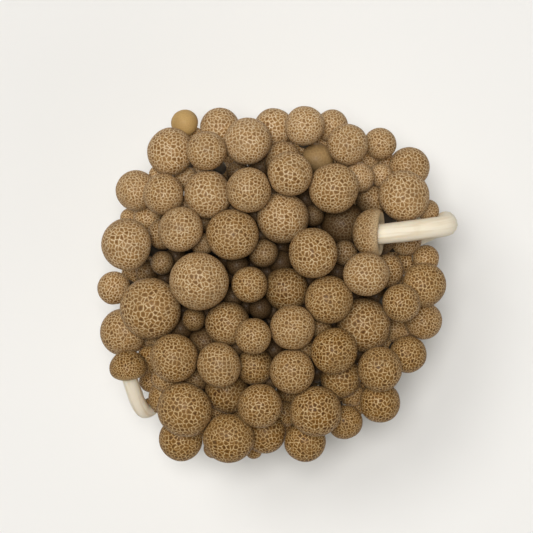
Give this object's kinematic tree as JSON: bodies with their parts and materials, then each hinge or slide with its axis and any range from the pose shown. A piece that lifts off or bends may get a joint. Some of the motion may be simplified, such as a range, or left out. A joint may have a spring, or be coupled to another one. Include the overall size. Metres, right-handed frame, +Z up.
{
  "type": "beech mushroom cluster",
  "caption": "Fresh brown beech mushrooms grown together: a sheaf of pale stems on one cut foot, crowded with round marbled brown caps.",
  "frame": {"origin": "middle of the flat cut under the foot, on which the cluster stands", "axes": "+Z up from the foot to the caps, +Y to the top edge and +X to the right edge of the picture, which looks down on the caps"},
  "size_m": [0.1109, 0.1097, 0.0761],
  "materials": {
    "cap_skin": "smooth moist brown skin, marbled darker and paler",
    "stem_flesh": "matt cream flesh with fine lengthwise fibres"
  },
  "bodies": {
    "root": {"stems": "stem_flesh", "cap_01": "cap_skin", "cap_02": "cap_skin", "cap_03": "cap_skin", "cap_04": "cap_skin", "cap_05": "cap_skin", "cap_06": "cap_skin", "cap_07": "cap_skin", "cap_08": "cap_skin", "cap_09": "cap_skin", "cap_10": "cap_skin", "cap_11": "cap_skin", "cap_12": "cap_skin", "cap_13": "cap_skin", "cap_14": "cap_skin", "cap_15": "cap_skin", "cap_16": "cap_skin", "cap_17": "cap_skin", "cap_18": "cap_skin", "cap_19": "cap_skin", "cap_20": "cap_skin", "cap_21": "cap_skin", "cap_22": "cap_skin", "cap_23": "cap_skin", "cap_24": "cap_skin", "cap_25": "cap_skin", "cap_26": "cap_skin", "cap_27": "cap_skin", "cap_28": "cap_skin", "cap_29": "cap_skin", "cap_30": "cap_skin", "cap_31": "cap_skin", "cap_32": "cap_skin", "cap_33": "cap_skin", "cap_34": "cap_skin", "cap_35": "cap_skin", "cap_36": "cap_skin", "cap_37": "cap_skin", "cap_38": "cap_skin", "cap_39": "cap_skin", "cap_40": "cap_skin", "cap_41": "cap_skin", "cap_42": "cap_skin", "cap_43": "cap_skin", "cap_44": "cap_skin", "cap_45": "cap_skin", "cap_46": "cap_skin", "cap_47": "cap_skin", "cap_48": "cap_skin", "cap_49": "cap_skin", "cap_50": "cap_skin", "cap_51": "cap_skin", "cap_52": "cap_skin", "cap_53": "cap_skin", "cap_54": "cap_skin", "cap_55": "cap_skin", "cap_56": "cap_skin", "cap_57": "cap_skin", "cap_58": "cap_skin", "cap_59": "cap_skin"}
  },
  "joints": []
}
